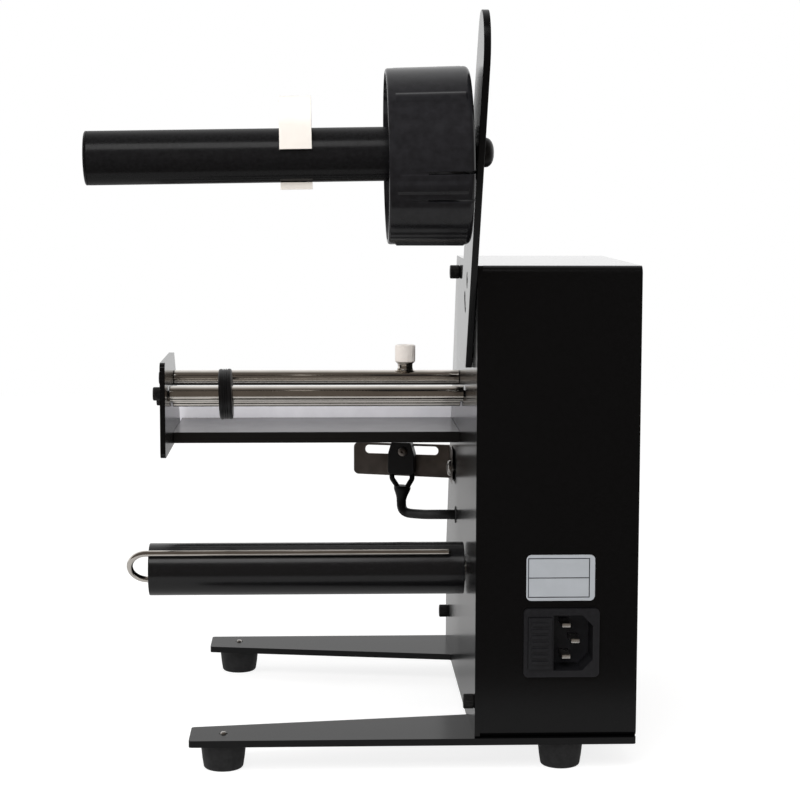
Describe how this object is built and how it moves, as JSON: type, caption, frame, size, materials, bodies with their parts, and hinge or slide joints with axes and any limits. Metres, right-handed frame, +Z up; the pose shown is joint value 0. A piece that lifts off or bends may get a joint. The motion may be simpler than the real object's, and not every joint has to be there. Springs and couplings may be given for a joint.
{
  "type": "label dispenser machine",
  "caption": "free-standing motor-driven label dispenser with a leaning supply arm, core hub, label table with chrome rods, sensor and take-up roller on a tall panel with a closed cabinet",
  "frame": {"origin": "centre of the bounding box's footprint, on the surface that the feet stand on", "axes": "+X from the roller side to the cabinet's back, +Y from the side with the mains inlet toward the slanted operator's front, +Z up"},
  "size_m": [0.2346, 0.2612, 0.3244],
  "materials": {
    "coat": "satin black powder coat",
    "foot_rubber": "dull black rubber",
    "steel": "plain zinc plated steel",
    "black_steel": "black oxide steel",
    "plastic": "satin black plastic",
    "hub_plastic": "glossy black plastic",
    "label": "silver sticker with printed lines",
    "fuse_glass": "clear",
    "spring_steel": "pale bare spring strip",
    "chrome": "bright chrome",
    "cable_rubber": "black PVC",
    "supply_case": "plain sheet",
    "board": "green solder mask"
  },
  "bodies": {
    "frame": {"base_plate": "coat", "foot_near_front": "foot_rubber", "foot_near_rear": "foot_rubber", "foot_far_front": "foot_rubber", "foot_far_rear": "foot_rubber", "foot_screw_near_front": "steel", "foot_screw_near_rear": "steel", "foot_screw_far_front": "steel", "foot_screw_far_rear": "steel", "main_panel": "coat", "cabinet_cover": "coat", "panel_screw_upper_far": "black_steel", "panel_screw_lower_near": "black_steel", "panel_screw_lower_far": "black_steel", "rating_plate": "label", "inlet_body": "plastic", "inlet_pin_upper": "steel", "inlet_pin_lower": "steel", "inlet_pin_earth": "steel", "arm_pivot_screw": "black_steel", "arm_stop_pin": "black_steel", "side_plate": "coat", "side_screw_bar": "black_steel", "side_screw_upper": "black_steel", "side_screw_lower": "black_steel", "table_screw_near": "black_steel", "table_screw_far": "black_steel", "table_plate": "coat", "peel_plate": "steel", "tie_bar": "chrome", "sensor_bracket": "steel", "bracket_screw": "steel", "sensor_cable": "cable_rubber", "cable_grommet": "cable_rubber", "gearbox": "steel", "motor": "black_steel", "power_supply": "supply_case", "control_board": "board", "switch_body": "plastic", "speed_control": "steel"},
    "supply_arm": {"supply_arm": "coat", "supply_bolt": "black_steel", "supply_shaft": "coat", "shaft_end_cap": "plastic"},
    "core_hub": {"core_hub": "hub_plastic"},
    "roll_stop": {"roll_stop_clip": "spring_steel"},
    "upper_roller": {"upper_roller": "chrome"},
    "lower_roller": {"lower_roller": "chrome"},
    "guide_ring": {"guide_ring": "plastic"},
    "thumb_screw": {"thumb_screw": "chrome"},
    "sensor": {"sensor_body": "plastic", "sensor_screw": "steel", "sensor_nut": "steel"},
    "take_up": {"take_up_roller": "coat", "drive_shaft": "steel"},
    "wire_clip": {"wire_clip": "chrome"},
    "fuse_drawer": {"fuse_drawer": "plastic", "fuse": "fuse_glass"},
    "rocker": {"switch_rocker": "plastic"},
    "knob": {"speed_knob": "plastic"}
  },
  "joints": [
    {"name": "arm_tilt", "type": "hinge", "parent": "frame", "child": "supply_arm", "pos_m": [0.04648, -0.0501, 0.2139], "axis": [1, 0, 0], "range_deg": [-8, 8]},
    {"name": "hub_spin", "type": "hinge", "parent": "supply_arm", "child": "core_hub", "pos_m": [0.0435, -0.0867, 0.2673], "axis": [0.9998, 0, 0.0175], "continuous": true},
    {"name": "roll_stop_slide", "type": "slide", "parent": "supply_arm", "child": "roll_stop", "axis": [0.9998, 0, 0.0175], "range_m": [-0.0774, 0.029]},
    {"name": "upper_roller_spin", "type": "hinge", "parent": "frame", "child": "upper_roller", "pos_m": [-0.02202, 0.0013, 0.159], "axis": [1, 0, 0], "continuous": true},
    {"name": "lower_roller_spin", "type": "hinge", "parent": "frame", "child": "lower_roller", "pos_m": [-0.02202, 0.0223, 0.1544], "axis": [1, 0, 0], "continuous": true},
    {"name": "guide_ring_slide", "type": "slide", "parent": "upper_roller", "child": "guide_ring", "axis": [1, 0, 0], "range_m": [-0.0225, 0.102]},
    {"name": "thumb_screw_turn", "type": "hinge", "parent": "frame", "child": "thumb_screw", "pos_m": [0.02038, 0.0373, 0.1667], "axis": [0, 0, 1], "range_deg": [0, 720]},
    {"name": "sensor_slide", "type": "slide", "parent": "frame", "child": "sensor", "axis": [0.9711, -0.2385, 0], "range_m": [-0.018, 0.013], "deforming": ["sensor_cable"]},
    {"name": "take_up_spin", "type": "hinge", "parent": "frame", "child": "take_up", "pos_m": [-0.02202, -0.0097, 0.079], "axis": [1, 0, 0], "continuous": true},
    {"name": "wire_clip_pull", "type": "slide", "parent": "take_up", "child": "wire_clip", "axis": [-1, 0, 0], "range_m": [0, 0.11]},
    {"name": "fuse_drawer_pull", "type": "slide", "parent": "frame", "child": "fuse_drawer", "axis": [0, -1, 0], "range_m": [0, 0.022]},
    {"name": "rocker_tip", "type": "hinge", "parent": "frame", "child": "rocker", "pos_m": [0.08278, 0.09969, 0.12098], "axis": [1, 0, 0], "range_deg": [0, 20]},
    {"name": "knob_turn", "type": "hinge", "parent": "frame", "child": "knob", "pos_m": [0.08278, 0.08102, 0.16521], "axis": [0, 0.9113, 0.4118], "range_deg": [0, 280]}
  ]
}
